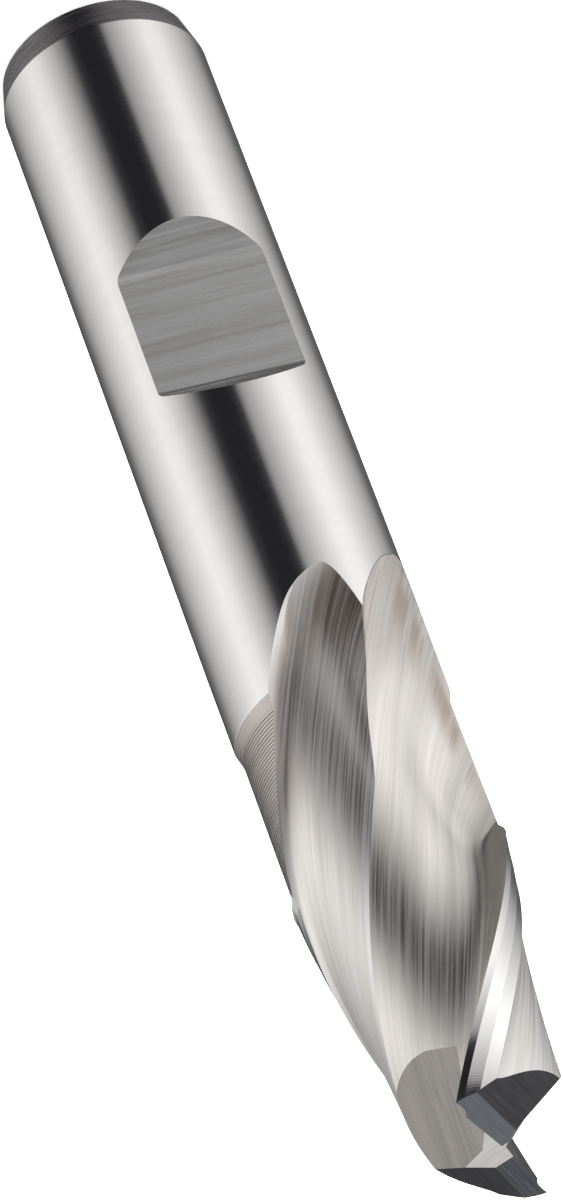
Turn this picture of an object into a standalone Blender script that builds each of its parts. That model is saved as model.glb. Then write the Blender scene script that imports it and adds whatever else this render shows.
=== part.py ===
"""Two-flute keyway end mill with a flatted cylindrical shank, standing on its shank end.

One piece of hardened tool steel, turned and then ground: shank with a bevelled end and one
clamping flat, a slightly thinner neck, two right-hand helical flutes that run out on the shank,
relieved lands, and an end ground to cut over its centre. Metres, +Z from shank end to tip.
"""
import math

import bmesh
import bpy
from mathutils import Vector

MM = 0.001

# turned blank
CUTTER_RADIUS = 6.0 * MM
SHANK_RADIUS = 6.0 * MM
OVERALL_LENGTH = 75.75 * MM
BEVEL_LENGTH = 1.95 * MM
BEVEL_DEPTH = 0.47 * MM
NECK_FROM_TIP = 27.85 * MM
NECK_TAPER = 0.8 * MM
NECK_DEPTH = 0.25 * MM
CUTTING_LENGTH = 17.5 * MM
SHOULDER_RUN = 0.6 * MM
GRINDING_STOCK = 0.05 * MM
TURNED_SEGMENTS = 96

# clamping flat, its outward side is -Y
FLAT_START = 18.8 * MM
FLAT_LENGTH = 8.45 * MM
FLAT_HEIGHT = 4.32 * MM
FLAT_UPPER_RUN = 1.22
FLAT_LOWER_RUN = 0.94
FLAT_UPPER_FILLET = 1.0 * MM
FLAT_LOWER_FILLET = 0.7 * MM

# tooth layout: angles behind a cutting edge are counted against the turning direction
TOOTH_COUNT = 2
HELIX_ANGLE = math.radians(29.5)
TIP_EDGE_ANGLE = math.radians(-63.9)
RAKE_ANGLE = math.radians(4.0)

# lands
PRIMARY_LAND = 4.3
PRIMARY_DROP = 0.045 * MM
LAND_MIDDLE = 12.0
LAND_MIDDLE_DROP = 0.213 * MM
LAND_END = 20.6
LAND_DROP = 0.43 * MM
LAND_RUNOUT = 0.9 * MM

# tooth back pass and gullet pass, angles in degrees behind the edge: each floor swells away
# from its deepest angle, and a wall that fades over its ease joins it to the blank
BACK_RUNOUT_FROM_TIP = 34.25 * MM
BACK_WALL = 10.5
BACK_WALL_CURL = (16.5, 0.75 * MM)
BACK_WALL_DRIFT = (6.9, 4.5 * MM, 7.5 * MM)
BACK_WALL_EASE = 3.4
BACK_OPENING = (3.0, 0.3 * MM)
BACK_SPREAD = (141.0, 15.0 * MM)
BACK_PLUNGE = 1.2
BACK_DEEPEST = 100.0
BACK_CORE = 4.1 * MM
BACK_SWELL = 0.00018 * MM
GULLET_RUNOUT_FROM_TIP = 35.7 * MM
GULLET_WALL = 56.0
GULLET_WALL_CURL = (18.0, 0.85 * MM)
GULLET_WALL_DRIFT = (9.0, 3.4 * MM, 5.0 * MM)
GULLET_WALL_EASE = 5.0
GULLET_OPENING = (13.0, 0.07 * MM)
GULLET_SPREAD = (180.0, 23.0 * MM)
GULLET_PLUNGE = 1.2
GULLET_DEEPEST = 143.0
GULLET_CORE = 3.46 * MM
GULLET_SWELL = 0.00021 * MM
GULLET_FLOOR_END = 158.0
GULLET_FILLET = 1.5 * MM
PASS_BLEND = 0.4 * MM
RUNOUT_LENGTH = 21.0 * MM

# end grinding, in each tooth's own frame: P along its end edge, Q behind it
DISH = 0.026
END_RELIEF = 0.123
END_LAND = 1.12 * MM
END_SECOND_RELIEF = 0.49
END_RELIEF_FROM = (-0.5 * MM, 0.4 * MM)

# gashes of the long and the short tooth, and the second cut of the long one past the centre
GASH_DEPTHS = (1.293 * MM, 0.16 * MM)
GASH_FALLS = (1.016, 0.738)
GASH_TILTS = (0.501, 0.47)
GASH_WALL = 0.03 * MM
GASH_WALL_SPLAY = 0.035
GASH_WALL_LEAN = 0.15
GASH_ROOT = 1.22 * MM
GASH_ROOT_TILT = 0.70
CENTRE_DEPTH = 1.225 * MM
CENTRE_FALL = 0.78
CENTRE_TILT = 0.381
CENTRE_SIDE = 0.3 * MM
CENTRE_STOP = 0.06 * MM

REACH = 8.0 * MM
INSIDE_REACH = REACH - 0.4 * MM
FAR = 9.0 * MM


def clear_scene():
    for item in list(bpy.data.objects):
        bpy.data.objects.remove(item, do_unlink=True)


def add_object(name, mesh_data):
    item = bpy.data.objects.new(name, mesh_data)
    bpy.context.scene.collection.objects.link(item)
    return item


def solid_from_rings(name, rings):
    """Closed solid through equal rings of points, side walls in triangles."""
    shape = bmesh.new()
    rows = [[shape.verts.new(point) for point in ring] for ring in rings]
    count = len(rows[0])
    for lower, upper in zip(rows, rows[1:]):
        for i in range(count):
            j = (i + 1) % count
            shape.faces.new((lower[i], lower[j], upper[j]))
            shape.faces.new((lower[i], upper[j], upper[i]))
    shape.faces.new(list(reversed(rows[0])))
    shape.faces.new(rows[-1])
    bmesh.ops.recalc_face_normals(shape, faces=shape.faces)
    mesh_data = bpy.data.meshes.new(name)
    shape.to_mesh(mesh_data)
    shape.free()
    return add_object(name, mesh_data)


def edge_angle(z, tooth):
    """Angle of a tooth's cutting edge at height z, following the right-hand helix."""
    twist = math.tan(HELIX_ANGLE) / CUTTER_RADIUS
    return TIP_EDGE_ANGLE + tooth * math.tau / TOOTH_COUNT + twist * (z - OVERALL_LENGTH)


def behind_edge(z, tooth, degrees, radius):
    angle = edge_angle(z, tooth) - math.radians(degrees)
    return Vector((radius * math.cos(angle), radius * math.sin(angle), z))


def ring_of_section(z, tooth, section):
    """Cutter ring: the ground surface's section, closed well outside the blank."""
    first = section[0][0]
    last = section[-1][0]
    points = [behind_edge(z, tooth, degrees, radius) for degrees, radius in section]
    for step in range(6):
        points.append(behind_edge(z, tooth, last + (first - last) * step / 5.0, REACH))
    return points


def floor_with_wall(degrees, wall, ease, deepest, core, swell):
    """Full-depth radius: the swelling floor, raised towards the wall that fades into it."""
    height = CUTTER_RADIUS - (core + swell * (deepest - wall) ** 2)
    past_wall = degrees - wall
    if past_wall < 0.0:
        return min(CUTTER_RADIUS - height / ease * past_wall, INSIDE_REACH)
    return core + swell * (deepest - degrees) ** 2 + height * math.exp(-past_wall / ease)


def chord_radius(degrees, left, right, plunge):
    """Flat the lifting wheel leaves: it ends at the right angle and runs on past the left."""
    half_width = math.radians(right - left) / 2.0
    depth = SHANK_RADIUS * math.copysign(plunge * (1.0 - math.cos(half_width)), half_width)
    depth = min(depth, 0.97 * SHANK_RADIUS)
    reach = math.degrees(math.acos(min(1.0 - depth / SHANK_RADIUS, 1.0)))
    turned = math.radians(degrees - (right - reach))
    return min((SHANK_RADIUS - depth) / max(math.cos(turned), 0.1), INSIDE_REACH)


def blended_max(first, second, width):
    overlap = max(width - abs(first - second), 0.0)
    return max(first, second) + overlap * overlap / (4.0 * width)


def ground_radius(degrees, full, left, right, plunge):
    """Full-depth radius and run-out flat joined, more softly away from the wall."""
    width = PASS_BLEND * min(max((degrees - left) / 20.0, 0.02), 1.0)
    return blended_max(full, chord_radius(degrees, left, right, plunge), width)


def wall_angle(lifted, settled, curl, drift):
    """Left border of a pass: it curls in from the run-out and later drifts on a little."""
    eased = min(max((lifted - drift[1]) / drift[2], 0.0), 1.0)
    eased = eased * eased * (3.0 - 2.0 * eased)
    return settled + curl[0] * math.exp(-lifted / curl[1]) + drift[0] * eased


def opened_angle(lifted, apex, opening, spread):
    """Right border of a pass: a blunt start at the apex, then an even spread that slows down."""
    blunt = opening[0] * (1.0 - math.exp(-lifted / opening[1]))
    return apex + blunt + spread[0] * (1.0 - math.exp(-lifted / spread[1]))


def back_section(lifted):
    """Tooth back at a height above its run-out."""
    apex = BACK_WALL + BACK_WALL_CURL[0]
    wall = wall_angle(lifted, BACK_WALL, BACK_WALL_CURL, BACK_WALL_DRIFT)
    right = opened_angle(lifted, apex, BACK_OPENING, BACK_SPREAD)
    steps = [-5.0, 0.0, 1.2, 2.5, 4.0, 6.0, 8.5, 11.5]
    places = [wall + step for step in steps]
    rest = BACK_DEEPEST + 8.0 - places[-1]
    places += [places[-1] + rest * i / 11.0 for i in range(1, 12)]
    section = []
    for degrees in places:
        full = floor_with_wall(degrees, wall, BACK_WALL_EASE, BACK_DEEPEST, BACK_CORE, BACK_SWELL)
        section.append((degrees, ground_radius(degrees, full, wall, right, BACK_PLUNGE)))
    full = CUTTER_RADIUS + 0.5 * MM
    degrees = BACK_DEEPEST + 10.0
    section.append((degrees, ground_radius(degrees, full, wall, right, BACK_PLUNGE)))
    return section


def gullet_section(lifted):
    """Gullet at a height above its run-out: wall, floor, fillet and the next tooth's face."""
    apex = GULLET_WALL + GULLET_WALL_CURL[0]
    wall = wall_angle(lifted, GULLET_WALL, GULLET_WALL_CURL, GULLET_WALL_DRIFT)
    right = opened_angle(lifted, apex, GULLET_OPENING, GULLET_SPREAD)
    steps = [-4.0, 0.0, 2.0, 4.5, 7.5, 11.0, 16.0]
    places = [wall + step for step in steps]
    rest = GULLET_FLOOR_END - places[-1]
    places += [places[-1] + rest * i / 11.0 for i in range(1, 12)]
    full_section = []
    for degrees in places:
        full = floor_with_wall(degrees, wall, GULLET_WALL_EASE, GULLET_DEEPEST, GULLET_CORE,
                               GULLET_SWELL)
        full_section.append((degrees, full))
    centre_p = full_section[-1][1] + GULLET_FILLET
    centre_q = (CUTTER_RADIUS - centre_p) * math.tan(RAKE_ANGLE) - GULLET_FILLET
    corner = []
    for i in range(6):
        turn = math.radians(156.0 - 13.2 * i)
        corner.append((centre_p + GULLET_FILLET * math.cos(turn),
                       centre_q + GULLET_FILLET * math.sin(turn)))
    for p in (5.5 * MM, 6.0 * MM, 6.5 * MM):
        corner.append((p, (CUTTER_RADIUS - p) * math.tan(RAKE_ANGLE)))
    for p, q in corner:
        full_section.append((180.0 + math.degrees(math.atan2(q, p)), math.hypot(p, q)))
    section = []
    for degrees, full in full_section:
        section.append((degrees, ground_radius(degrees, full, wall, right, GULLET_PLUNGE)))
    return section


def flute_cutter(name, tooth, section_at, runout_z):
    """One wheel pass along the helix, with closer rings where it lifts out of the blank."""
    rings = []
    lifted = -0.5 * MM
    while runout_z + lifted < OVERALL_LENGTH + 2.0 * MM:
        rings.append(ring_of_section(runout_z + lifted, tooth, section_at(lifted)))
        if lifted < RUNOUT_LENGTH:
            lifted += min(0.06 * MM + 0.2 * abs(lifted), 0.75 * MM)
        else:
            lifted += 1.25 * MM
    return solid_from_rings(name, rings)


def land_cutter(name, tooth):
    """Primary and secondary land of one tooth, running out on the shoulder to the neck."""
    start = OVERALL_LENGTH - CUTTING_LENGTH - LAND_RUNOUT
    rings = []
    z = start
    while z < OVERALL_LENGTH + 2.0 * MM:
        lift = 0.35 * max(1.0 * MM - (z - start), 0.0)
        section = [(-4.0, CUTTER_RADIUS + PRIMARY_DROP * 4.0 / PRIMARY_LAND + lift),
                   (PRIMARY_LAND, CUTTER_RADIUS - PRIMARY_DROP + lift),
                   (LAND_MIDDLE, CUTTER_RADIUS - LAND_MIDDLE_DROP + lift),
                   (LAND_END, CUTTER_RADIUS - LAND_DROP + lift)]
        rings.append(ring_of_section(z, tooth, section))
        z += 0.5 * MM if z < start + LAND_RUNOUT else 1.25 * MM
    return solid_from_rings(name, rings)


def tooth_frame(tooth):
    """Tip frame of one tooth: P outward along its end edge, Q behind it, Z to the tip."""
    angle = TIP_EDGE_ANGLE + tooth * math.tau / TOOTH_COUNT
    along = Vector((math.cos(angle), math.sin(angle), 0.0))
    behind = Vector((math.sin(angle), -math.cos(angle), 0.0))
    return along, behind


def tip_prism(name, tooth, section_at, p_from, p_to):
    """Prism across the tip, straight between its (Q, Z) sections at two places along P."""
    along, behind = tooth_frame(tooth)
    rings = []
    for p in (p_from, p_to):
        rings.append([along * p + behind * q + Vector((0.0, 0.0, OVERALL_LENGTH + z))
                      for q, z in section_at(p)])
    return solid_from_rings(name, rings)


def end_relief_cutter(name, tooth, p_from):
    """Primary and secondary relief behind one end edge, with the end dished to the centre."""
    def section_at(p):
        edge = DISH * (p - CUTTER_RADIUS)
        land_end = edge - END_RELIEF * END_LAND
        return [(-FAR, edge + END_RELIEF * FAR),
                (END_LAND, land_end),
                (FAR, land_end - END_SECOND_RELIEF * (FAR - END_LAND)),
                (FAR, FAR),
                (-FAR, FAR)]
    return tip_prism(name, tooth, section_at, p_from, FAR)


def gash_cutter(name, tooth):
    """Gash in front of a tooth: floor, slightly steeper root and the wall under the end edge."""
    def section_at(p):
        floor = -GASH_DEPTHS[tooth] - GASH_FALLS[tooth] * p
        root_z = floor - GASH_TILTS[tooth] * GASH_ROOT
        at_axis = root_z + GASH_ROOT_TILT * GASH_ROOT
        wall = -GASH_WALL - GASH_WALL_SPLAY * p
        corner = (wall - GASH_WALL_LEAN * at_axis) / (1.0 + GASH_WALL_LEAN * GASH_ROOT_TILT)
        return [(corner, at_axis + GASH_ROOT_TILT * corner),
                (-GASH_ROOT, root_z),
                (-FAR, floor - GASH_TILTS[tooth] * FAR),
                (-FAR, 2.0 * FAR),
                (wall - GASH_WALL_LEAN * 2.0 * FAR, 2.0 * FAR)]
    return tip_prism(name, tooth, section_at, -7.0 * MM, FAR)


def centre_cutter(name):
    """Second gash of the long tooth, carried past the centre."""
    def section_at(p):
        axis_z = -CENTRE_DEPTH - CENTRE_FALL * p
        return [(CENTRE_SIDE, axis_z + CENTRE_TILT * CENTRE_SIDE),
                (-FAR, axis_z - CENTRE_TILT * FAR),
                (-FAR, 2.0 * FAR),
                (CENTRE_SIDE, 2.0 * FAR)]
    return tip_prism(name, 0, section_at, -8.0 * MM, -CENTRE_STOP)


def filleted(before, corner, after, radius):
    """Corner of an outline, given as (y, z) points, rounded with a tangent arc."""
    corner = Vector(corner)
    back = (Vector(before) - corner).normalized()
    forth = (Vector(after) - corner).normalized()
    half = back.angle(forth) / 2.0
    centre = corner + (back + forth).normalized() * (radius / math.sin(half))
    first = corner + back * (radius / math.tan(half)) - centre
    last = corner + forth * (radius / math.tan(half)) - centre
    return [centre + first.slerp(last, i / 4.0) * radius for i in range(5)]


def flat_cutter(name):
    """Clamping flat with its two slopes, concave fillets between them."""
    rise = REACH - FLAT_HEIGHT
    flat_end = FLAT_START + FLAT_LENGTH
    lower = (-REACH, flat_end + FLAT_LOWER_RUN * rise)
    upper = (-REACH, FLAT_START - FLAT_UPPER_RUN * rise)
    start = (-FLAT_HEIGHT, FLAT_START)
    end = (-FLAT_HEIGHT, flat_end)
    section = filleted(upper, start, end, FLAT_UPPER_FILLET)
    section += filleted(start, end, lower, FLAT_LOWER_FILLET)
    section += [lower, upper]
    rings = [[Vector((x, y, z)) for y, z in section] for x in (-REACH, REACH)]
    return solid_from_rings(name, rings)


def turned_blank(name):
    shoulder = OVERALL_LENGTH - CUTTING_LENGTH
    neck_start = OVERALL_LENGTH - NECK_FROM_TIP
    blank_radius = CUTTER_RADIUS + GRINDING_STOCK
    neck_radius = SHANK_RADIUS - NECK_DEPTH
    outline = [(SHANK_RADIUS - BEVEL_DEPTH, 0.0),
               (SHANK_RADIUS, BEVEL_LENGTH),
               (SHANK_RADIUS, neck_start),
               (neck_radius, neck_start + NECK_TAPER),
               (neck_radius, shoulder - SHOULDER_RUN),
               (blank_radius, shoulder),
               (blank_radius, OVERALL_LENGTH + 1.5 * MM)]
    shape = bmesh.new()
    rows = []
    for radius, z in outline:
        row = []
        for i in range(TURNED_SEGMENTS):
            angle = math.tau * (i + 0.5) / TURNED_SEGMENTS
            row.append(shape.verts.new((radius * math.cos(angle), radius * math.sin(angle), z)))
        rows.append(row)
    for lower, upper in zip(rows, rows[1:]):
        for i in range(TURNED_SEGMENTS):
            j = (i + 1) % TURNED_SEGMENTS
            shape.faces.new((lower[i], lower[j], upper[j], upper[i]))
    shape.faces.new(list(reversed(rows[0])))
    shape.faces.new(rows[-1])
    mesh_data = bpy.data.meshes.new(name)
    shape.to_mesh(mesh_data)
    shape.free()
    return add_object(name, mesh_data)


def tool_steel():
    steel = bpy.data.materials.new("ground_tool_steel")
    steel.use_nodes = True
    shader = steel.node_tree.nodes["Principled BSDF"]
    shader.inputs["Base Color"].default_value = (0.62, 0.61, 0.59, 1.0)
    shader.inputs["Metallic"].default_value = 1.0
    shader.inputs["Roughness"].default_value = 0.28
    return steel


clear_scene()
end_mill = turned_blank("end_mill")
cutters = [flat_cutter("cut_flat")]
for tooth in range(TOOTH_COUNT):
    cutters.append(flute_cutter("cut_back_%d" % tooth, tooth, back_section,
                                OVERALL_LENGTH - BACK_RUNOUT_FROM_TIP))
    cutters.append(flute_cutter("cut_gullet_%d" % tooth, tooth + 1, gullet_section,
                                OVERALL_LENGTH - GULLET_RUNOUT_FROM_TIP))
    cutters.append(land_cutter("cut_land_%d" % tooth, tooth))
    cutters.append(end_relief_cutter("cut_end_%d" % tooth, tooth, END_RELIEF_FROM[tooth]))
    cutters.append(gash_cutter("cut_gash_%d" % tooth, tooth))
cutters.append(centre_cutter("cut_centre"))

for cutter in cutters:
    cutter.hide_render = True
    cutter.display_type = 'WIRE'
    cut = end_mill.modifiers.new(cutter.name, 'BOOLEAN')
    cut.operation = 'DIFFERENCE'
    cut.solver = 'EXACT'
    cut.object = cutter

end_mill.data.polygons.foreach_set("use_smooth", [True] * len(end_mill.data.polygons))
end_mill.data.set_sharp_from_angle(angle=math.radians(22.0))
end_mill.data.materials.append(tool_steel())
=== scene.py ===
"""Two-flute keyway end mill with a flatted shank, standing on its shank end with the tip up.

The file follows the tool as it is made: the turned blank, the clamping flat, the two flutes,
the lands and the ground end, and then the whole piece with its finish.
"""
import math

import bmesh
import bpy
import numpy as np
from mathutils import Matrix, Vector
from mathutils.bvhtree import BVHTree


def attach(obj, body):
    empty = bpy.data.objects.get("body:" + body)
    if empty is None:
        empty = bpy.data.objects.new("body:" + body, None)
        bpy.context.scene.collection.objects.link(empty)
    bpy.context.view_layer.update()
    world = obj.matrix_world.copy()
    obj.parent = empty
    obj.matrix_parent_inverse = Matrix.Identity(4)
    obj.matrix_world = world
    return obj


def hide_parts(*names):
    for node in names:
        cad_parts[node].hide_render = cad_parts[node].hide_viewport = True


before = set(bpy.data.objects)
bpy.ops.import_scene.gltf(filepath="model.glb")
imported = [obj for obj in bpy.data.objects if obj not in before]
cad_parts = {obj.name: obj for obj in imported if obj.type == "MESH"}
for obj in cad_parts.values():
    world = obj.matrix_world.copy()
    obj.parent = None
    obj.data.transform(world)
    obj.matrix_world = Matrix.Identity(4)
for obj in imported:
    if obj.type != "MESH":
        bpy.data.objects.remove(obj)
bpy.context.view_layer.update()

# Camera: a long lens above and in front of the tool, rolled so that the tip points down and to
# the right. Sideways, towards the camera and up are the three directions that it is placed by.
SIDE_TURN = math.radians(12.6)
sideways = Vector((-math.cos(SIDE_TURN), -math.sin(SIDE_TURN), 0.0))
towards = Vector((math.sin(SIDE_TURN), -math.cos(SIDE_TURN), 0.0))
upwards = Vector((0.0, 0.0, 1.0))
LOOK_DOWN = math.radians(35.01)
CAMERA_ROLL = math.radians(159.51)
CAMERA_ASIDE = -0.000762
CAMERA_AWAY = 0.32402
CAMERA_HEIGHT = 0.26601
FOCAL_PIXELS = 7360.87
PICTURE_PIXELS = 1200.0
look = -towards * math.cos(LOOK_DOWN) - upwards * math.sin(LOOK_DOWN)
level_up = upwards * math.cos(LOOK_DOWN) - towards * math.sin(LOOK_DOWN)
camera_right = level_up * math.sin(CAMERA_ROLL) - sideways * math.cos(CAMERA_ROLL)
camera_up = camera_right.cross(look)
camera_data = bpy.data.cameras.new("camera")
camera_data.sensor_width = 36.0
camera_data.lens = FOCAL_PIXELS / PICTURE_PIXELS * camera_data.sensor_width
camera_data.clip_start = 0.01
camera_data.clip_end = 30.0
camera = bpy.data.objects.new("camera", camera_data)
camera.matrix_world = Matrix.Translation(
    sideways * CAMERA_ASIDE + towards * CAMERA_AWAY + upwards * CAMERA_HEIGHT
) @ Matrix((camera_right, camera_up, -look)).transposed().to_4x4()
bpy.context.scene.collection.objects.link(camera)
bpy.context.scene.camera = camera
bpy.context.scene.view_settings.view_transform = 'Standard'

# Floor: a wide plain pale board under the tool. The bright metal mirrors the light tent round it
# and not the board, as it would on a glass table.
FLOOR_REACH = 6.0
floor_mesh = bpy.data.meshes.new("floor")
floor_mesh.from_pydata([(-FLOOR_REACH, -FLOOR_REACH, 0.0), (FLOOR_REACH, -FLOOR_REACH, 0.0),
                        (FLOOR_REACH, FLOOR_REACH, 0.0), (-FLOOR_REACH, FLOOR_REACH, 0.0)],
                       [], [(0, 1, 2, 3)])
floor = bpy.data.objects.new("floor", floor_mesh)
bpy.context.scene.collection.objects.link(floor)
floor.visible_glossy = False
floor.visible_shadow = False
board = bpy.data.materials.new("pale_board")
board.use_nodes = True
board.node_tree.nodes["Principled BSDF"].inputs["Base Color"].default_value = (0.9, 0.9, 0.9, 1)
board.node_tree.nodes["Principled BSDF"].inputs["Roughness"].default_value = 0.9
board.node_tree.nodes["Principled BSDF"].inputs["Specular IOR Level"].default_value = 0.1
floor_mesh.materials.append(board)

# Light tent: bright cloth round the tool with a black strip towards the camera, which keeps a
# faint cold light, and a dim side away from it. A wide soft lamp above lights the board.
STRIP_LIGHT = (0.009, 0.009, 0.013)
tent = bpy.data.worlds.new("light_tent")
tent.use_nodes = True
bpy.context.scene.world = tent
tent_nodes = tent.node_tree.nodes
tent_links = tent.node_tree.links


def tent_node(kind, **settings):
    """Node of the tent's light, with its settings."""
    made = tent_nodes.new(kind)
    for name, value in settings.items():
        setattr(made, name, value)
    return made


def tent_measure(direction, vector):
    """How far a direction of the light points along a vector."""
    made = tent_node('ShaderNodeVectorMath', operation='DOT_PRODUCT')
    tent_links.new(direction, made.inputs[0])
    made.inputs[1].default_value = vector
    return made.outputs["Value"]


def tent_ramp(value, low, high, stops):
    """Brightness of the tent cloth along one measure, in soft steps."""
    spread = tent_node('ShaderNodeMapRange')
    tent_links.new(value, spread.inputs["Value"])
    spread.inputs["From Min"].default_value = low
    spread.inputs["From Max"].default_value = high
    ramp = tent_node('ShaderNodeValToRGB')
    tent_links.new(spread.outputs["Result"], ramp.inputs["Fac"])
    while len(ramp.color_ramp.elements) < len(stops):
        ramp.color_ramp.elements.new(0.5)
    for element, (place, bright) in zip(ramp.color_ramp.elements, stops):
        element.position = (place - low) / (high - low)
        element.color = (bright, bright, bright, 1.0)
    return ramp.outputs["Color"]


tent_place = tent_node('ShaderNodeTexCoord').outputs["Generated"]
tent_round = tent_node('ShaderNodeMath', operation='ARCTAN2')
tent_links.new(tent_measure(tent_place, sideways), tent_round.inputs[0])
tent_links.new(tent_measure(tent_place, towards), tent_round.inputs[1])
tent_turn = tent_node('ShaderNodeMath', operation='DEGREES')
tent_links.new(tent_round.outputs[0], tent_turn.inputs[0])
tent_sides = tent_ramp(tent_turn.outputs[0], -180.0, 180.0,
                       [(-180, 0.16), (-172, 0.08), (-160, 0.07), (-145, 0.15), (-128, 0.38),
                        (-100, 0.70), (-76, 0.95), (-62, 0.88), (-40, 0.50), (-26, 0.18),
                        (-19, 0.03), (-10, 0.008), (9, 0.008), (17, 0.03), (21, 0.24),
                        (25, 0.36), (30, 0.43), (46, 0.70), (65, 0.98), (78, 0.96),
                        (100, 0.68), (126, 0.38), (145, 0.14), (158, 0.08), (166, 0.13),
                        (172, 0.22), (180, 0.22)])
tent_height = tent_node('ShaderNodeSeparateXYZ')
tent_links.new(tent_place, tent_height.inputs[0])
tent_rise = tent_ramp(tent_height.outputs["Z"], -1.0, 1.0,
                      [(-1.0, 0.12), (-0.87, 0.15), (-0.77, 0.28), (-0.70, 0.62), (-0.63, 1.0),
                       (-0.52, 1.05), (-0.40, 1.28), (0.0, 1.28), (0.3, 1.1), (0.6, 0.78),
                       (1.0, 0.7)])
tent_cloth = tent_node('ShaderNodeVectorMath', operation='MULTIPLY_ADD')
tent_links.new(tent_sides, tent_cloth.inputs[0])
tent_links.new(tent_rise, tent_cloth.inputs[1])
tent_cloth.inputs[2].default_value = STRIP_LIGHT
tent_back = tent_nodes["Background"]
tent_links.new(tent_cloth.outputs[0], tent_back.inputs["Color"])
tent_seen = tent_node('ShaderNodeBackground')
tent_seen.inputs["Color"].default_value = (1.0, 1.0, 1.0, 1.0)
tent_path = tent_node('ShaderNodeLightPath')
tent_mix = tent_node('ShaderNodeMixShader')
tent_links.new(tent_path.outputs["Is Camera Ray"], tent_mix.inputs["Fac"])
tent_links.new(tent_back.outputs[0], tent_mix.inputs[1])
tent_links.new(tent_seen.outputs[0], tent_mix.inputs[2])
tent_links.new(tent_mix.outputs[0], tent_nodes["World Output"].inputs["Surface"])

lamp_data = bpy.data.lights.new("board_lamp", 'AREA')
lamp_data.size = 2.5
lamp_data.energy = 160.0
lamp = bpy.data.objects.new("board_lamp", lamp_data)
lamp.location = (0.0, 0.0, 2.2)
lamp.visible_glossy = False
bpy.context.scene.collection.objects.link(lamp)

# Turned blank: one bar of hardened tool steel with a bevelled shank end and a slightly thinner
# neck behind the cutting length, turned and then ground round.
MM = 0.001
TOOL_LENGTH = 75.75 * MM
TOOL_RADIUS = 6.0 * MM
SHANK_RADIUS = 5.996 * MM
BEVEL_DEPTH = 0.466 * MM
CUTTING_LENGTH = 17.5 * MM
NECK_START = 47.9 * MM
NECK_RADIUS = 5.75 * MM
SHOULDER_RUN = 0.6 * MM
GRINDING_STOCK = 0.05 * MM
BLANK_SEGMENTS = 360


def finished_mesh(name, shape, material, crease=20.0):
    """Triangles with their faces outward, and soft shading up to the crease angle in degrees."""
    bmesh.ops.recalc_face_normals(shape, faces=shape.faces)
    bmesh.ops.triangulate(shape, faces=shape.faces)
    mesh = bpy.data.meshes.new(name)
    shape.to_mesh(mesh)
    shape.free()
    mesh.polygons.foreach_set("use_smooth", [True] * len(mesh.polygons))
    mesh.polygons.foreach_set("material_index", [0] * len(mesh.polygons))
    mesh.set_sharp_from_angle(angle=math.radians(crease))
    mesh.materials.append(material)
    made = bpy.data.objects.new(name, mesh)
    bpy.context.scene.collection.objects.link(made)
    return made


def lathe(name, outline, material):
    """Bar turned from an outline of (radius, height) points."""
    shape = bmesh.new()
    rows = []
    for radius, z in outline:
        turns = [math.tau * (i + 0.5) / BLANK_SEGMENTS for i in range(BLANK_SEGMENTS)]
        rows.append([shape.verts.new((radius * math.cos(turn), radius * math.sin(turn), z))
                     for turn in turns])
    for lower, upper in zip(rows, rows[1:]):
        for i in range(BLANK_SEGMENTS):
            j = (i + 1) % BLANK_SEGMENTS
            shape.faces.new((lower[i], lower[j], upper[j], upper[i]))
    shape.faces.new(rows[0])
    shape.faces.new(rows[-1])
    return finished_mesh(name, shape, material)


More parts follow.
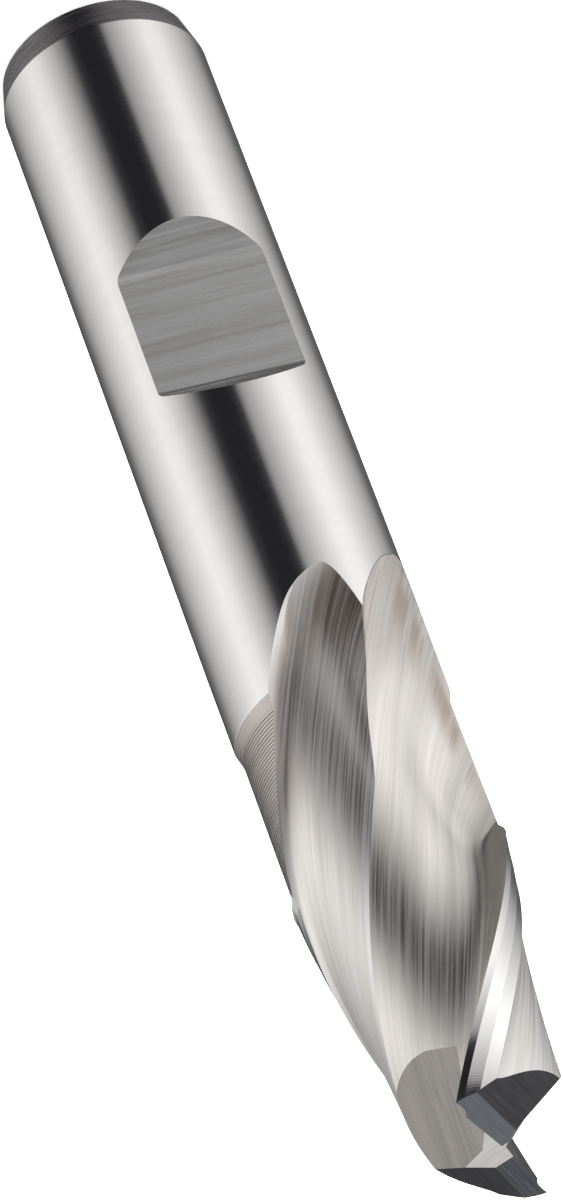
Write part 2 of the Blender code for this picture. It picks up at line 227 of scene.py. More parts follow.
def ground_steel(name, colour, roughness, stretch, contrast=0.08, grit=0.0, spread=0.05,
                 turned=(0.0, 0.0, 0.0), lead=0.0, tint=None, painted_shade=None, rings=0.0):
    """Bare steel with grinding lines: stretch is how close the lines lie in X, Y and Z once the
    pattern is turned, grit is their depth and lead winds them along a helix in radians per metre.
    On wound lines, tint is a darker brown colour where the wheel leaves the steel, and the
    painted shade is a dark brown patch, given with the angle where it lies. Rings is the depth
    of the turning rings."""
    made = bpy.data.materials.new(name)
    made.use_nodes = True
    nodes = made.node_tree.nodes
    links = made.node_tree.links

    def figure(operation, *values):
        node = nodes.new('ShaderNodeMath')
        node.operation = operation
        for socket, value in zip(node.inputs, values):
            if isinstance(value, float):
                socket.default_value = value
            else:
                links.new(value, socket)
        return node.outputs[0]

    def spread_over(value, low, high, to_low, to_high):
        node = nodes.new('ShaderNodeMapRange')
        node.interpolation_type = 'SMOOTHSTEP'
        for socket, number in zip(node.inputs[1:5], (low, high, to_low, to_high)):
            socket.default_value = number
        links.new(value, node.inputs["Value"])
        return node.outputs["Result"]

    def vector_of(operation, vector, *others):
        node = nodes.new('ShaderNodeVectorMath')
        node.operation = operation
        links.new(vector, node.inputs[0])
        for socket, value in zip(node.inputs[1:], others):
            if isinstance(value, tuple):
                socket.default_value = value
            else:
                links.new(value, socket)
        return node.outputs

    def coloured(under, over, *shares):
        factor = shares[0]
        for share in shares[1:]:
            factor = figure('MULTIPLY', factor, share)
        node = nodes.new('ShaderNodeMix')
        node.data_type = 'RGBA'
        node.inputs["B"].default_value = (*over, 1.0)
        links.new(factor, node.inputs["Factor"])
        links.new(under, node.inputs["A"])
        return node.outputs["Result"]

    shader = nodes["Principled BSDF"]
    shader.inputs["Metallic"].default_value = 1.0
    place = nodes.new('ShaderNodeTexCoord').outputs["Object"]
    parts = nodes.new('ShaderNodeSeparateXYZ')
    links.new(place, parts.inputs[0])
    steady = place
    if lead:
        unwound = nodes.new('ShaderNodeVectorRotate')
        unwound.rotation_type = 'Z_AXIS'
        links.new(place, unwound.inputs["Vector"])
        links.new(figure('MULTIPLY', parts.outputs["Z"], -lead), unwound.inputs["Angle"])
        skin = vector_of('MULTIPLY', unwound.outputs[0], (1.0, 1.0, 0.0))[0]
        aimed = vector_of('NORMALIZE', skin)[0]
        along = vector_of('MULTIPLY', place, (0.0, 0.0, 1.0))[0]
        steady = vector_of('MULTIPLY_ADD', aimed, (5.0 * MM, 5.0 * MM, 0.0), along)[0]
    turning = nodes.new('ShaderNodeVectorRotate')
    turning.rotation_type = 'EULER_XYZ'
    turning.inputs["Rotation"].default_value = turned
    links.new(steady, turning.inputs["Vector"])
    lines = []
    for wide in (1.0, 0.16):
        mapping = nodes.new('ShaderNodeMapping')
        mapping.inputs["Scale"].default_value = [wide * value for value in stretch]
        links.new(turning.outputs[0], mapping.inputs["Vector"])
        noise = nodes.new('ShaderNodeTexNoise')
        noise.inputs["Scale"].default_value = 1.0
        noise.inputs["Detail"].default_value = 3.0
        noise.inputs["Roughness"].default_value = 0.62
        links.new(mapping.outputs[0], noise.inputs["Vector"])
        lines.append(noise.outputs["Fac"])
    shade = nodes.new('ShaderNodeMix')
    shade.data_type = 'RGBA'
    shade.inputs["A"].default_value = [value * (1.0 - contrast) for value in colour] + [1.0]
    shade.inputs["B"].default_value = [min(value * (1.0 + contrast), 1.0) for value in colour] + [1.0]
    links.new(spread_over(figure('ADD', lines[0], lines[1]), 0.65, 1.35, 0.0, 1.0),
              shade.inputs["Factor"])
    tone = shade.outputs["Result"]
    if tint:
        out = vector_of('LENGTH', skin)["Value"]
        tone = coloured(tone, tint, spread_over(out, 4.5 * MM, 5.3 * MM, 0.0, 1.0),
                        spread_over(out, 5.45 * MM, 5.85 * MM, 1.0, 0.15),
                        spread_over(parts.outputs["Z"], 52.0 * MM, 57.0 * MM, 1.0, 0.0),
                        spread_over(lines[1], 0.42, 0.56, 0.1, 1.0))
    # Painted shade: a dark brown patch on both flutes, at a given angle behind the edge and from 43.5
    # to 48.5 mm up the tool.
    if painted_shade:
        painted_shade_colour, painted_shade_angle = painted_shade
        aim = (math.cos(painted_shade_angle), math.sin(painted_shade_angle), 0.0)
        near = figure('ABSOLUTE', vector_of('DOT_PRODUCT', aimed, aim)["Value"])
        tone = coloured(tone, painted_shade_colour, spread_over(near, 0.80, 0.985, 0.0, 1.0),
                        spread_over(parts.outputs["Z"], 43.5 * MM, 48.5 * MM, 1.0, 0.0),
                        spread_over(lines[1], 0.36, 0.52, 0.55, 1.0))
    links.new(tone, shader.inputs["Base Color"])
    links.new(spread_over(lines[0], 0.36, 0.64, roughness - spread, roughness + spread),
              shader.inputs["Roughness"])
    height = figure('MULTIPLY', lines[0], grit)
    if rings:
        pitch = 0.21 * MM
        swing = figure('ADD', figure('MULTIPLY', parts.outputs["Z"], math.tau / pitch),
                       figure('MULTIPLY', lines[1], 4.0))
        height = figure('ADD', height, figure('MULTIPLY', figure('SINE', swing), rings / 2.0))
    bump = nodes.new('ShaderNodeBump')
    bump.inputs["Strength"].default_value = 1.0
    bump.inputs["Distance"].default_value = 1.0
    links.new(height, bump.inputs["Height"])
    links.new(bump.outputs[0], shader.inputs["Normal"])
    return made


shank_steel = ground_steel("polished_shank_steel", (0.88, 0.864, 0.842), 0.13,
                           (500.0, 500.0, 9000.0), contrast=0.02, grit=0.0003 * MM, spread=0.02)
bevel_steel = ground_steel("turned_bevel_steel", (0.68, 0.65, 0.65), 0.27,
                           (600.0, 600.0, 9000.0), contrast=0.10, grit=0.001 * MM)
# The neck's base colour is darkened as painted shade, so that the turned neck looks dim.
neck_steel_painted_shade = ground_steel("turned_neck_steel_painted_shade", (0.50, 0.46, 0.43), 0.26,
                          (300.0, 300.0, 5000.0), contrast=0.10, grit=0.001 * MM,
                          rings=0.016 * MM)
# Close pairs of rings keep each softened corner narrow.
blank = lathe("blank", [(SHANK_RADIUS - BEVEL_DEPTH, 0.0),
                        (SHANK_RADIUS - 0.022 * MM, 1.86 * MM),
                        (SHANK_RADIUS - 0.02 * MM, 1.87 * MM),
                        (SHANK_RADIUS, 1.97 * MM),
                        (SHANK_RADIUS, 1.98 * MM),
                        (SHANK_RADIUS, NECK_START - 0.06 * MM),
                        (SHANK_RADIUS, NECK_START - 0.05 * MM),
                        (SHANK_RADIUS - 0.02 * MM, NECK_START + 0.04 * MM),
                        (SHANK_RADIUS - 0.023 * MM, NECK_START + 0.05 * MM),
                        (NECK_RADIUS + 0.023 * MM, NECK_START + 0.73 * MM),
                        (NECK_RADIUS + 0.02 * MM, NECK_START + 0.74 * MM),
                        (NECK_RADIUS, NECK_START + 0.86 * MM),
                        (NECK_RADIUS, NECK_START + 0.87 * MM),
                        (NECK_RADIUS, TOOL_LENGTH - CUTTING_LENGTH - SHOULDER_RUN),
                        (TOOL_RADIUS + GRINDING_STOCK, TOOL_LENGTH - CUTTING_LENGTH),
                        (TOOL_RADIUS + GRINDING_STOCK, TOOL_LENGTH + 1.5 * MM)], shank_steel)
blank.data.materials.append(bevel_steel)
blank.data.materials.append(neck_steel_painted_shade)
for face in blank.data.polygons:
    if face.center.z < 1.9 * MM:
        face.material_index = 1
    elif face.center.z > NECK_START:
        face.material_index = 2

# Clamping flat: ground square across the shank, with one sloped shoulder at each end, so that a
# side screw holds the tool. The corners of the wheel leave a fillet along both shoulders.
flat_steel = ground_steel("ground_flat_steel", (1.0, 0.975, 0.925), 0.24,
                          (160.0, 160.0, 4500.0), contrast=0.34, grit=0.002 * MM,
                          turned=(0.0, math.radians(2.0), 0.0))
FLAT_HEIGHT = 4.32 * MM
FLAT_START = 18.8 * MM
FLAT_END = 27.25 * MM
FLAT_UPPER_RUN = 1.22
FLAT_LOWER_RUN = 0.94
FLAT_UPPER_FILLET = 1.0 * MM
FLAT_LOWER_FILLET = 0.7 * MM
FILLET_STEPS = 14
WHEEL_REACH = 8.0 * MM


def block(name, rings, material):
    """Closed block through equal rings of points."""
    shape = bmesh.new()
    rows = [[shape.verts.new(point) for point in ring] for ring in rings]
    count = len(rows[0])
    for lower, upper in zip(rows, rows[1:]):
        for i in range(count):
            j = (i + 1) % count
            shape.faces.new((lower[i], lower[j], upper[j], upper[i]))
    shape.faces.new(list(reversed(rows[0])))
    shape.faces.new(rows[-1])
    return finished_mesh(name, shape, material, crease=5.0)


def filleted(before, corner, after, radius, steps):
    """Corner of an outline, given as (y, z) points, rounded with a tangent arc."""
    corner = Vector(corner)
    back = (Vector(before) - corner).normalized()
    forth = (Vector(after) - corner).normalized()
    half = back.angle(forth) / 2.0
    centre = corner + (back + forth).normalized() * (radius / math.sin(half))
    first = corner + back * (radius / math.tan(half)) - centre
    last = corner + forth * (radius / math.tan(half)) - centre
    return [centre + first.slerp(last, i / steps) * radius for i in range(steps + 1)]


flat_upper = (-WHEEL_REACH, FLAT_START - FLAT_UPPER_RUN * (WHEEL_REACH - FLAT_HEIGHT))
flat_lower = (-WHEEL_REACH, FLAT_END + FLAT_LOWER_RUN * (WHEEL_REACH - FLAT_HEIGHT))
flat_corners = ((-FLAT_HEIGHT, FLAT_START), (-FLAT_HEIGHT, FLAT_END))
flat_section = filleted(flat_upper, *flat_corners, FLAT_UPPER_FILLET, FILLET_STEPS)
flat_section += filleted(*flat_corners, flat_lower, FLAT_LOWER_FILLET, FILLET_STEPS)
flat_section += [flat_lower, flat_upper]
flat_wheel = block("flat_wheel", [[Vector((x, y, z)) for y, z in flat_section]
                                  for x in (-WHEEL_REACH, WHEEL_REACH)], flat_steel)

# Flutes: two right-hand helical grooves, each ground in two passes of a wheel that lifts out of
# the shank. A strip of the wheel's section is wound along the helix and repeated for each tooth.
# The section's angles are degrees behind the cutting edge.
HELIX_ANGLE = math.radians(29.5)
TIP_EDGE_ANGLE = math.radians(-63.9)
TOOTH_COUNT = 2
RAKE = math.tan(math.radians(4.0))
WINDING = math.tan(HELIX_ANGLE) / TOOL_RADIUS
# Where the painted shade, a dark brown patch, lies on the back pass: an angle behind the edge.
PAINTED_SHADE_BEHIND_EDGE = math.radians(58.0)
PAINTED_SHADE_ANGLE = TIP_EDGE_ANGLE - WINDING * TOOL_LENGTH - PAINTED_SHADE_BEHIND_EDGE
PASS_BLEND = 0.4 * MM
PLUNGE = 1.2
RUNOUT_LENGTH = 25.0 * MM
INSIDE_REACH = 7.6 * MM
FLOOR_STEPS = 44
OUTSIDE_STEPS = 7
BACK_APEX_Z = TOOL_LENGTH - 34.25 * MM
BACK_WALL = 10.5
BACK_WALL_CURL = (16.5, 0.75 * MM)
BACK_WALL_DRIFT = (6.9, 4.5 * MM, 7.5 * MM)
BACK_WALL_EASE = 3.4
BACK_APEX = 27.0
BACK_OPENING = (3.0, 0.3 * MM)
BACK_SPREAD = (141.0, 15.0 * MM)
BACK_DEEPEST = 100.0
BACK_CORE = 4.1 * MM
BACK_SWELL = 0.00018 * MM
BACK_FLOOR_END = 108.0
BACK_HOLLOW = 0.36 * MM
GULLET_APEX_Z = TOOL_LENGTH - 35.7 * MM
GULLET_WALL = 56.0
GULLET_WALL_CURL = (18.0, 0.85 * MM)
GULLET_WALL_DRIFT = (9.0, 3.4 * MM, 5.0 * MM)
GULLET_WALL_EASE = 5.0
GULLET_APEX = 74.0
GULLET_OPENING = (13.0, 0.07 * MM)
GULLET_SPREAD = (180.0, 23.0 * MM)
GULLET_DEEPEST = 143.0
GULLET_CORE = 3.46 * MM
GULLET_SWELL = 0.00021 * MM
GULLET_FLOOR_END = 158.0
GULLET_FILLET = 1.5 * MM
GULLET_FILLET_STEPS = 21
GULLET_FACE_STEPS = 13
GULLET_FIXED_POINTS = 41
SOFTENING_PASSES = 40
# The back pass carries a painted shade: a dark brown patch just above the apex of its run-out.
back_steel = ground_steel("ground_back_steel", (1.0, 0.945, 0.88), 0.50,
                          (7000.0, 7000.0, 60.0), contrast=0.22, grit=0.0026 * MM, spread=0.11,
                          lead=WINDING, tint=(0.80, 0.71, 0.64),
                          painted_shade=((0.30, 0.245, 0.205), PAINTED_SHADE_ANGLE))
gullet_steel = ground_steel("ground_gullet_steel", (0.83, 0.797, 0.757), 0.45,
                            (7000.0, 7000.0, 60.0), contrast=0.16, grit=0.0022 * MM,
                            spread=0.10, lead=WINDING, tint=(0.60, 0.51, 0.45))


def winding_tree():
    """Winds a flat strip round the tool along its helix and repeats it for each tooth."""
    tree = bpy.data.node_groups.new("wheel_pass", 'GeometryNodeTree')
    tree.interface.new_socket("Strip", in_out='INPUT', socket_type='NodeSocketGeometry')
    for name in ("Tool Radius", "Tool Length", "Tip Edge Angle", "Helix Angle", "Plunge",
                 "Hollow", "Run-out Top", "Blend", "Wheel Reach"):
        tree.interface.new_socket(name, in_out='INPUT', socket_type='NodeSocketFloat')
    tree.interface.new_socket("Teeth", in_out='INPUT', socket_type='NodeSocketInt')
    tree.interface.new_socket("Steel", in_out='INPUT', socket_type='NodeSocketMaterial')
    tree.interface.new_socket("Wheel", in_out='OUTPUT', socket_type='NodeSocketGeometry')
    given = tree.nodes.new('NodeGroupInput').outputs

    def put(socket, value):
        if isinstance(value, (int, float)):
            socket.default_value = value
        else:
            tree.links.new(value, socket)

    def sum_of(operation, *values):
        made = tree.nodes.new('ShaderNodeMath')
        made.operation = operation
        for socket, value in zip(made.inputs, values):
            put(socket, value)
        return made.outputs[0]

    def named(name):
        made = tree.nodes.new('GeometryNodeInputNamedAttribute')
        made.data_type = 'FLOAT'
        made.inputs["Name"].default_value = name
        return made.outputs["Attribute"]

    place = tree.nodes.new('ShaderNodeSeparateXYZ')
    tree.links.new(tree.nodes.new('GeometryNodeInputPosition').outputs[0], place.inputs[0])
    height = place.outputs["Z"]
    behind = named("behind")
    full = named("full_radius")
    radius = given["Tool Radius"]
    left = named("left")
    right = named("right")
    half = sum_of('DIVIDE', sum_of('SUBTRACT', right, left), 2.0)
    sunk = sum_of('MULTIPLY', sum_of('MULTIPLY', given["Plunge"], sum_of('SIGN', half)),
                  sum_of('SUBTRACT', 1.0, sum_of('COSINE', half)))
    sunk = sum_of('MINIMUM', sunk, 0.97)
    across = sum_of('ARCCOSINE', sum_of('MINIMUM', sum_of('SUBTRACT', 1.0, sunk), 1.0))
    middle = sum_of('SUBTRACT', right, across)
    aside = sum_of('SUBTRACT', behind, middle)
    slant = sum_of('MAXIMUM', sum_of('COSINE', aside), 0.1)
    chord = sum_of('DIVIDE', sum_of('MULTIPLY', radius, sum_of('SUBTRACT', 1.0, sunk)), slant)
    aside = sum_of('DIVIDE', aside, sum_of('MAXIMUM', across, 0.01))
    hollow = sum_of('MINIMUM', sum_of('MULTIPLY', sum_of('MULTIPLY', radius, sunk), 0.35),
                    given["Hollow"])
    hollow = sum_of('MULTIPLY', sum_of('MAXIMUM', hollow, 0.0),
                    sum_of('MAXIMUM', sum_of('SUBTRACT', 1.0, sum_of('MULTIPLY', aside, aside)),
                           0.0))
    chord = sum_of('SUBTRACT', chord, hollow)
    chord = sum_of('MINIMUM', chord, sum_of('MULTIPLY', given["Wheel Reach"], 0.95))
    share = sum_of('DIVIDE', sum_of('SUBTRACT', behind, left), math.radians(20.0))
    width = sum_of('MULTIPLY', given["Blend"],
                   sum_of('MINIMUM', sum_of('MAXIMUM', share, 0.02), 1.0))
    apart = sum_of('ABSOLUTE', sum_of('SUBTRACT', full, chord))
    overlap = sum_of('MAXIMUM', sum_of('SUBTRACT', width, apart), 0.0)
    eased = sum_of('DIVIDE', sum_of('MULTIPLY', overlap, overlap),
                   sum_of('MULTIPLY', width, 4.0))
    blended = sum_of('ADD', sum_of('MAXIMUM', full, chord), eased)
    lifting = sum_of('LESS_THAN', height, given["Run-out Top"])
    ground = sum_of('ADD', full, sum_of('MULTIPLY', lifting, sum_of('SUBTRACT', blended, full)))
    outer = named("outer")
    final = sum_of('ADD', ground,
                   sum_of('MULTIPLY', outer, sum_of('SUBTRACT', given["Wheel Reach"], ground)))
    twist = sum_of('DIVIDE', sum_of('TANGENT', given["Helix Angle"]), radius)
    turn = sum_of('ADD', given["Tip Edge Angle"],
                  sum_of('MULTIPLY', twist, sum_of('SUBTRACT', height, given["Tool Length"])))
    angle = sum_of('SUBTRACT', turn, behind)
    spot = tree.nodes.new('ShaderNodeCombineXYZ')
    put(spot.inputs["X"], sum_of('MULTIPLY', final, sum_of('COSINE', angle)))
    put(spot.inputs["Y"], sum_of('MULTIPLY', final, sum_of('SINE', angle)))
    put(spot.inputs["Z"], height)
    wound = tree.nodes.new('GeometryNodeSetPosition')
    put(wound.inputs["Geometry"], given["Strip"])
    put(wound.inputs["Position"], spot.outputs[0])
    teeth = tree.nodes.new('GeometryNodeMeshLine')
    put(teeth.inputs["Count"], given["Teeth"])
    teeth.inputs["Offset"].default_value = (0.0, 0.0, 0.0)
    tooth_turn = tree.nodes.new('ShaderNodeCombineXYZ')
    put(tooth_turn.inputs["Z"],
        sum_of('DIVIDE', sum_of('MULTIPLY', tree.nodes.new('GeometryNodeInputIndex').outputs[0],
                                math.tau), given["Teeth"]))
    repeated = tree.nodes.new('GeometryNodeInstanceOnPoints')
    put(repeated.inputs["Points"], teeth.outputs[0])
    put(repeated.inputs["Instance"], wound.outputs[0])
    put(repeated.inputs["Rotation"], tooth_turn.outputs[0])
    real = tree.nodes.new('GeometryNodeRealizeInstances')
    put(real.inputs[0], repeated.outputs[0])
    dressed = tree.nodes.new('GeometryNodeSetMaterial')
    put(dressed.inputs["Geometry"], real.outputs[0])
    put(dressed.inputs["Material"], given["Steel"])
    put(tree.nodes.new('NodeGroupOutput').inputs[0], dressed.outputs[0])
    return tree


wheel_pass = winding_tree()


def wound_wheel(name, heights, section_at, material, crease=25.0, **sizes):
    """Strip of (degrees behind the edge, radius) sections, wound for both teeth. Each section
    comes with the left and right angle of the flat that the lifting wheel leaves."""
    rows = []
    for z in heights:
        section, left, right = section_at(z)
        first = section[0][0]
        last = section[-1][0]
        row = [(degrees, radius, 0.0) for degrees, radius in section]
        for i in range(OUTSIDE_STEPS + 1):
            row.append((last + (first - last) * i / OUTSIDE_STEPS, WHEEL_REACH, 1.0))
        rows.append([(math.radians(degrees), radius, outer, math.radians(left),
                      math.radians(right)) for degrees, radius, outer in row])
    count = len(rows[0])
    faces = []
    for k in range(len(rows) - 1):
        for i in range(count):
            a = k * count + i
            b = k * count + (i + 1) % count
            faces.append((a, b, b + count))
            faces.append((a, b + count, a + count))
    faces.append(tuple(reversed(range(count))))
    faces.append(tuple(range(count * (len(rows) - 1), count * len(rows))))
    strip = bpy.data.meshes.new(name + "_strip")
    strip.from_pydata([(float(i), 0.0, z) for z in heights for i in range(count)], [], faces)
    for column, word in enumerate(("behind", "full_radius", "outer", "left", "right")):
        held = strip.attributes.new(word, 'FLOAT', 'POINT')
        held.data.foreach_set("value", [spot[column] for row in rows for spot in row])
    worker = bpy.data.objects.new(name + "_strip", strip)
    bpy.context.scene.collection.objects.link(worker)
    winding = worker.modifiers.new("winding", 'NODES')
    winding.node_group = wheel_pass
    values = {"Tool Radius": TOOL_RADIUS, "Tool Length": TOOL_LENGTH,
              "Tip Edge Angle": TIP_EDGE_ANGLE, "Helix Angle": HELIX_ANGLE,
              "Teeth": TOOTH_COUNT,
              "Plunge": 1.0, "Hollow": 0.0, "Run-out Top": 0.0, "Blend": PASS_BLEND,
              "Wheel Reach": WHEEL_REACH, "Steel": material, **sizes}
    for item in wheel_pass.interface.items_tree:
        if item.in_out == 'INPUT' and item.name in values:
            winding[item.identifier] = values[item.name]
    worker.update_tag()
    seen = worker.evaluated_get(bpy.context.evaluated_depsgraph_get())
    wound = bpy.data.meshes.new_from_object(seen)
    bpy.data.objects.remove(worker)
    shape = bmesh.new()
    shape.from_mesh(wound)
    return finished_mesh(name, shape, material, crease)


def heights_from(apex_z):
    """Close rows near the run-out's apex, wider ones up the tool."""
    found = []
    z = apex_z - 0.4 * MM
    while z < TOOL_LENGTH + 1.0 * MM:
        found.append(z)
        near = min(abs(z - apex_z) / (4.0 * MM), 1.0)
        z += (0.04 + 0.22 * near) * MM
    return found


def wall_angle(lifted, settled, curl, drift):
    """Left border of a pass: it curls in from the run-out and later drifts on a little."""
    eased = min(max((lifted - drift[1]) / drift[2], 0.0), 1.0)
    eased = eased * eased * (3.0 - 2.0 * eased)
    return settled + curl[0] * math.exp(-lifted / curl[1]) + drift[0] * eased


def opened_angle(lifted, apex, opening, spread):
    """Right border of a pass: a blunt start at the apex, then an even spread that slows down."""
    blunt = opening[0] * (1.0 - math.exp(-lifted / opening[1]))
    return apex + blunt + spread[0] * (1.0 - math.exp(-lifted / spread[1]))


def floor_with_wall(degrees, wall, ease, deepest, core, swell):
    """Full-depth radius: the swelling floor, raised towards the wall that fades into it."""
    height = TOOL_RADIUS - (core + swell * (deepest - wall) ** 2)
    past_wall = degrees - wall
    if past_wall < 0.0:
        return min(TOOL_RADIUS - height / ease * past_wall, INSIDE_REACH)
    return core + swell * (deepest - degrees) ** 2 + height * math.exp(-past_wall / ease)


def back_section(z):
    """Tooth back: a steep heel wall that fades into a long flat swell."""
    lifted = z - BACK_APEX_Z
    wall = wall_angle(lifted, BACK_WALL, BACK_WALL_CURL, BACK_WALL_DRIFT)
    right = opened_angle(lifted, BACK_APEX, BACK_OPENING, BACK_SPREAD)
    places = [wall - 5.0 + i for i in range(5)] + [wall + 0.5 * i for i in range(24)]
    rest = BACK_FLOOR_END - places[-1]
    places += [places[-1] + rest * i / FLOOR_STEPS for i in range(1, FLOOR_STEPS + 1)]
    section = [(degrees, floor_with_wall(degrees, wall, BACK_WALL_EASE, BACK_DEEPEST,
                                         BACK_CORE, BACK_SWELL)) for degrees in places]
    return section + [(BACK_FLOOR_END + 2.0, TOOL_RADIUS + 0.5 * MM)], wall, right


def gullet_section(z):
    """Gullet: side wall, floor, fillet and the raked face of the next tooth. The wall and the
    start of the floor keep their places, and the rest of the outline is softened."""
    lifted = z - GULLET_APEX_Z
    wall = wall_angle(lifted, GULLET_WALL, GULLET_WALL_CURL, GULLET_WALL_DRIFT)
    right = opened_angle(lifted, GULLET_APEX, GULLET_OPENING, GULLET_SPREAD)
    places = [wall - 4.0 + i for i in range(4)] + [wall + 0.75 * i for i in range(22)]
    rest = GULLET_FLOOR_END - places[-1]
    places += [places[-1] + rest * i / FLOOR_STEPS for i in range(1, FLOOR_STEPS + 1)]
    section = [(degrees, floor_with_wall(degrees, wall, GULLET_WALL_EASE, GULLET_DEEPEST,
                                         GULLET_CORE, GULLET_SWELL)) for degrees in places]
    centre_p = section[-1][1] + GULLET_FILLET
    centre_q = (TOOL_RADIUS - centre_p) * RAKE - GULLET_FILLET
    corner = []
    for i in range(GULLET_FILLET_STEPS + 1):
        turn = math.radians(156.0 - 66.0 * i / GULLET_FILLET_STEPS)
        corner.append((centre_p + GULLET_FILLET * math.cos(turn),
                       centre_q + GULLET_FILLET * math.sin(turn)))
    for i in range(GULLET_FACE_STEPS + 1):
        p = (5.05 + 1.45 * i / GULLET_FACE_STEPS) * MM
        corner.append((p, (TOOL_RADIUS - p) * RAKE))
    for p, q in corner:
        section.append((180.0 + math.degrees(math.atan2(q, p)), math.hypot(p, q)))
    eased = np.array(section)
    for _ in range(SOFTENING_PASSES):
        softer = (eased[:-2] + 2.0 * eased[1:-1] + eased[2:]) / 4.0
        eased[GULLET_FIXED_POINTS:-1] = softer[GULLET_FIXED_POINTS - 1:]
    return [tuple(spot) for spot in eased], wall, right


back_wheel = wound_wheel("back_wheel", heights_from(BACK_APEX_Z), back_section, back_steel,
                         **{"Plunge": PLUNGE, "Hollow": BACK_HOLLOW,
                            "Run-out Top": BACK_APEX_Z + RUNOUT_LENGTH})
gullet_wheel = wound_wheel("gullet_wheel", heights_from(GULLET_APEX_Z), gullet_section,
                           gullet_steel,
                           **{"Plunge": PLUNGE, "Run-out Top": GULLET_APEX_Z + RUNOUT_LENGTH})

# Lands: behind each helical edge a narrow primary land and a wider, steeper secondary land,
# ground with a fine wheel and running out on the shoulder to the neck.
land_steel = ground_steel("ground_land_steel", (0.84, 0.82, 0.80), 0.12,
                          (3000.0, 3000.0, 60.0), contrast=0.03, grit=0.0005 * MM, spread=0.03,
                          lead=WINDING)
LAND_RUNOUT = 0.9 * MM
LAND_DROPS = ((-4.0, -0.0419), (4.3, 0.045), (12.0, 0.213), (20.6, 0.43))
LAND_ROWS = 131
land_start = TOOL_LENGTH - CUTTING_LENGTH - LAND_RUNOUT


def land_section(z):
    """Lands as degrees behind the edge and millimetres of drop. They lift at the run-out."""
    lift = 0.35 * max(1.0 * MM - (z - land_start), 0.0)
    return [(degrees, TOOL_RADIUS - drop * MM + lift) for degrees, drop in LAND_DROPS], 0.0, 0.0


land_heights = [land_start + 0.15 * MM * i for i in range(LAND_ROWS)]
land_wheel = wound_wheel("land_wheel", land_heights, land_section, land_steel, crease=3.0)

# Ground end: each tooth has a dished end edge with two reliefs behind it and a gash in front,
# and the gash of the long tooth is carried past the centre, so that the tool can plunge.
END_LINES = (300.0, 7000.0, 300.0)
# The end faces are one ground steel, and their base colours carry painted light and shade: the
# steeper reliefs and the gashes are darkened as painted shade, and the narrow land behind each end
# edge carries a painted blue-grey reflection.
relief_steel = ground_steel("ground_relief_steel", (0.40, 0.40, 0.42), 0.22, END_LINES,
                            contrast=0.15, grit=0.001 * MM,
                            turned=(0.0, 0.0, math.radians(63.9)))
edge_steel = ground_steel("ground_edge_steel", (0.66, 0.70, 0.76), 0.27, END_LINES,
                          contrast=0.16, grit=0.002 * MM,
                          turned=(0.0, 0.0, math.radians(63.9)))
gash_steel = ground_steel("ground_gash_steel", (0.40, 0.375, 0.35), 0.28, END_LINES,
                          contrast=0.18, grit=0.003 * MM,
                          turned=(0.0, 0.0, math.radians(-101.1)))
facet_steel = ground_steel("ground_facet_steel", (0.88, 0.86, 0.83), 0.22, END_LINES,
                           contrast=0.12, grit=0.002 * MM,
                           turned=(0.0, 0.0, math.radians(-46.9)))
END_REACH = 9.0 * MM
DISH = 0.026
END_RELIEF = 0.123
END_LAND = 1.12 * MM
END_SECOND_RELIEF = 0.49
END_RELIEF_FROM = (-0.5 * MM, 0.4 * MM)
GASH_DEPTHS = (1.293 * MM, 0.16 * MM)
GASH_FALLS = (1.016, 0.738)
GASH_TILTS = (0.501, 0.47)
GASH_WALL = 0.03 * MM
GASH_WALL_SPLAY = 0.035
GASH_WALL_LEAN = 0.15
GASH_ROOT = 1.22 * MM
GASH_ROOT_TILT = 0.70
CENTRE_DEPTH = 1.225 * MM
CENTRE_FALL = 0.78
CENTRE_TILT = 0.381
CENTRE_SIDE = 0.3 * MM
CENTRE_STOP = 0.06 * MM
GASH_FROM = -7.0 * MM
CENTRE_FROM = -8.0 * MM


def end_block(name, tooth, section_at, p_from, p_to, material):
    """Block across the tip, straight between its (Q, Z) sections at two places along P."""
    angle = TIP_EDGE_ANGLE + math.tau * tooth / TOOTH_COUNT
    along = Vector((math.cos(angle), math.sin(angle), 0.0))
    behind = Vector((math.sin(angle), -math.cos(angle), 0.0))
    rings = [[along * p + behind * q + Vector((0.0, 0.0, TOOL_LENGTH + z))
              for q, z in section_at(p)] for p in (p_from, p_to)]
    return block(name, rings, material)


def relief_section(p):
    """Dished end edge, its narrow land and the steeper relief behind it."""
    edge = DISH * (p - TOOL_RADIUS)
    land_end = edge - END_RELIEF * END_LAND
    return [(-END_REACH, edge + END_RELIEF * END_REACH), (END_LAND, land_end),
            (END_REACH, land_end - END_SECOND_RELIEF * (END_REACH - END_LAND)),
            (END_REACH, END_REACH), (-END_REACH, END_REACH)]


def gash_section(depth, fall, tilt):
    """Gash with a leaning wall at the end edge, a tilted root and a tilted floor."""
    def section_at(p):
        floor_z = -depth - fall * p
        root_z = floor_z - tilt * GASH_ROOT
        at_axis = root_z + GASH_ROOT_TILT * GASH_ROOT
        wall = -GASH_WALL - GASH_WALL_SPLAY * p
        corner = (wall - GASH_WALL_LEAN * at_axis) / (1.0 + GASH_WALL_LEAN * GASH_ROOT_TILT)
        return [(corner, at_axis + GASH_ROOT_TILT * corner), (-GASH_ROOT, root_z),
                (-END_REACH, floor_z - tilt * END_REACH), (-END_REACH, 2.0 * END_REACH),
                (wall - GASH_WALL_LEAN * 2.0 * END_REACH, 2.0 * END_REACH)]
    return section_at


def centre_section(p):
    """Small facet that carries the long tooth's gash past the centre."""
    axis_z = -CENTRE_DEPTH - CENTRE_FALL * p
    return [(CENTRE_SIDE, axis_z + CENTRE_TILT * CENTRE_SIDE),
            (-END_REACH, axis_z - CENTRE_TILT * END_REACH),
            (-END_REACH, 2.0 * END_REACH), (CENTRE_SIDE, 2.0 * END_REACH)]


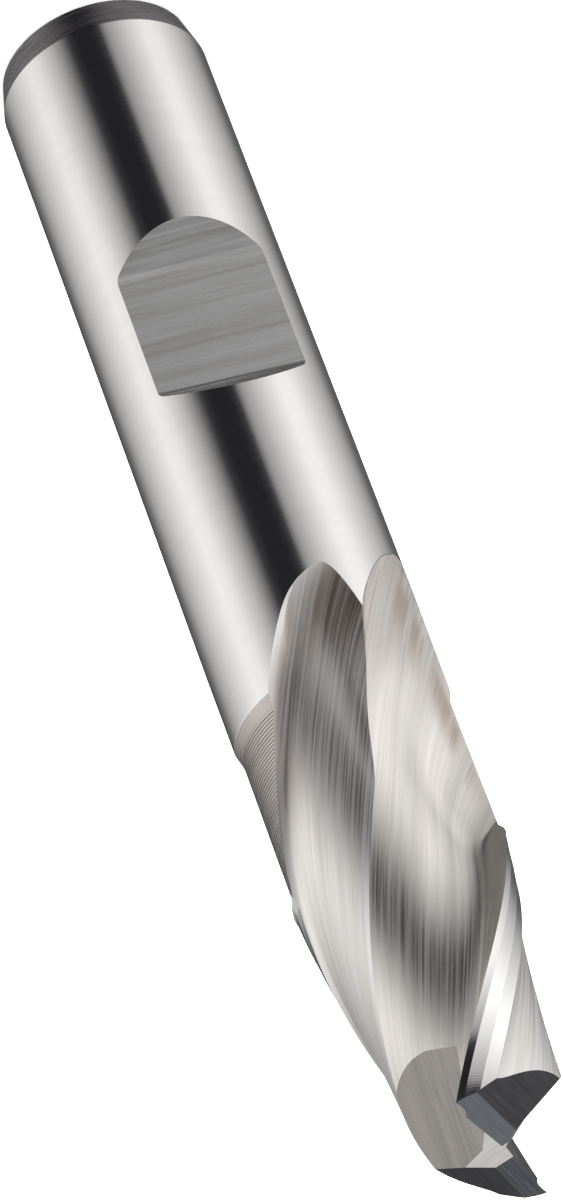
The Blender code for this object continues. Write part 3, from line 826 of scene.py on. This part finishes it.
end_wheels = []
for tooth, p_from in enumerate(END_RELIEF_FROM):
    wheel = end_block("relief_wheel_%d" % tooth, tooth, relief_section, p_from, END_REACH,
                      relief_steel)
    wheel.data.materials.append(edge_steel)
    end_wheels.append(wheel)
    for face in wheel.data.polygons:
        if face.normal.z < -0.97:
            face.material_index = 1
for tooth, (depth, fall, tilt) in enumerate(zip(GASH_DEPTHS, GASH_FALLS, GASH_TILTS)):
    end_wheels.append(end_block("gash_wheel_%d" % tooth, tooth, gash_section(depth, fall, tilt),
                                GASH_FROM, END_REACH, gash_steel))
end_wheels.append(end_block("centre_wheel", 0, centre_section, CENTRE_FROM, -CENTRE_STOP,
                            facet_steel))

# The whole tool: every wheel takes its cut from the blank, and each ground surface keeps its own
# finish and the even curve of the wheel that made it.
wheels = [flat_wheel, back_wheel, gullet_wheel, land_wheel] + end_wheels
for wheel in wheels:
    cut = blank.modifiers.new(wheel.name, 'BOOLEAN')
    cut.operation = 'DIFFERENCE'
    cut.solver = 'EXACT'
    cut.material_mode = 'TRANSFER'
    cut.object = wheel
seen = blank.evaluated_get(bpy.context.evaluated_depsgraph_get())
tool_mesh = bpy.data.meshes.new_from_object(seen)
tool_mesh.name = "end_mill_look"
shape = bmesh.new()
shape.from_mesh(tool_mesh)
bmesh.ops.triangulate(shape, faces=[face for face in shape.faces if len(face.verts) > 3])
shape.to_mesh(tool_mesh)
shape.free()


def share_of_corners(corners, spots):
    """Barycentric shares of points in their triangles, kept inside them."""
    first = corners[:, 1] - corners[:, 0]
    second = corners[:, 2] - corners[:, 0]
    to_spot = spots - corners[:, 0]
    d00 = (first * first).sum(1)
    d01 = (first * second).sum(1)
    d11 = (second * second).sum(1)
    d20 = (to_spot * first).sum(1)
    d21 = (to_spot * second).sum(1)
    across = np.maximum(d00 * d11 - d01 * d01, 1e-30)
    v = np.clip((d11 * d20 - d01 * d21) / across, 0.0, 1.0)
    w = np.clip((d00 * d21 - d01 * d20) / across, 0.0, 1.0)
    return np.stack([np.maximum(1.0 - v - w, 0.0), v, w], axis=1)


def wheel_curves(mesh, makers):
    """Each corner gets the normal of the surface that ground it, if that lies close by and
    faces the same way."""
    closest = 0.02 * MM
    same_way = 0.8
    count = len(mesh.polygons)
    centres = np.zeros(count * 3)
    mesh.polygons.foreach_get("center", centres)
    centres = centres.reshape(-1, 3)
    facing = np.zeros(count * 3)
    mesh.polygons.foreach_get("normal", facing)
    facing = facing.reshape(-1, 3)
    spots = np.zeros(len(mesh.vertices) * 3)
    mesh.vertices.foreach_get("co", spots)
    spots = spots.reshape(-1, 3)
    corners = np.zeros(count * 3, dtype=np.int32)
    mesh.loops.foreach_get("vertex_index", corners)
    corners = corners.reshape(-1, 3)
    best = np.full(count, 1e9)
    normals = np.repeat(facing[:, None, :], 3, axis=1)
    for maker, side in makers:
        data = maker.data
        size = len(data.polygons)
        at = np.zeros(len(data.vertices) * 3)
        data.vertices.foreach_get("co", at)
        at = at.reshape(-1, 3)
        ring = np.zeros(size * 3, dtype=np.int32)
        data.loops.foreach_get("vertex_index", ring)
        ring = ring.reshape(-1, 3)
        curve = np.zeros(size * 9)
        data.corner_normals.foreach_get("vector", curve)
        curve = curve.reshape(-1, 3, 3) * side
        flat = np.zeros(size * 3)
        data.polygons.foreach_get("normal", flat)
        flat = flat.reshape(-1, 3) * side
        tree = BVHTree.FromPolygons(at.tolist(), ring.tolist(), all_triangles=True)
        nearest = np.full(count, -1, dtype=np.int64)
        gap = np.full(count, 1e9)
        for i, centre in enumerate(centres):
            hit = tree.find_nearest(centre, closest)
            if hit[2] is not None:
                nearest[i] = hit[2]
                gap[i] = hit[3]
        chosen = np.where(nearest >= 0)[0]
        agree = (flat[nearest[chosen]] * facing[chosen]).sum(1)
        chosen = chosen[(agree > same_way) & (gap[chosen] < best[chosen])]
        best[chosen] = gap[chosen]
        source = nearest[chosen]
        for k in range(3):
            share = share_of_corners(at[ring[source]], spots[corners[chosen, k]])
            smooth = (share[:, :, None] * curve[source]).sum(1)
            smooth /= np.maximum(np.linalg.norm(smooth, axis=1), 1e-9)[:, None]
            normals[chosen, k] = smooth
    mesh.polygons.foreach_set("use_smooth", [True] * count)
    mesh.normals_split_custom_set(normals.reshape(-1, 3).tolist())


wheel_curves(tool_mesh, [(blank, 1.0)] + [(wheel, -1.0) for wheel in wheels])
end_mill = bpy.data.objects.new("end_mill_look", tool_mesh)
bpy.context.scene.collection.objects.link(end_mill)
for maker in [blank] + wheels:
    bpy.data.objects.remove(maker)
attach(end_mill, "root")
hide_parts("end_mill")
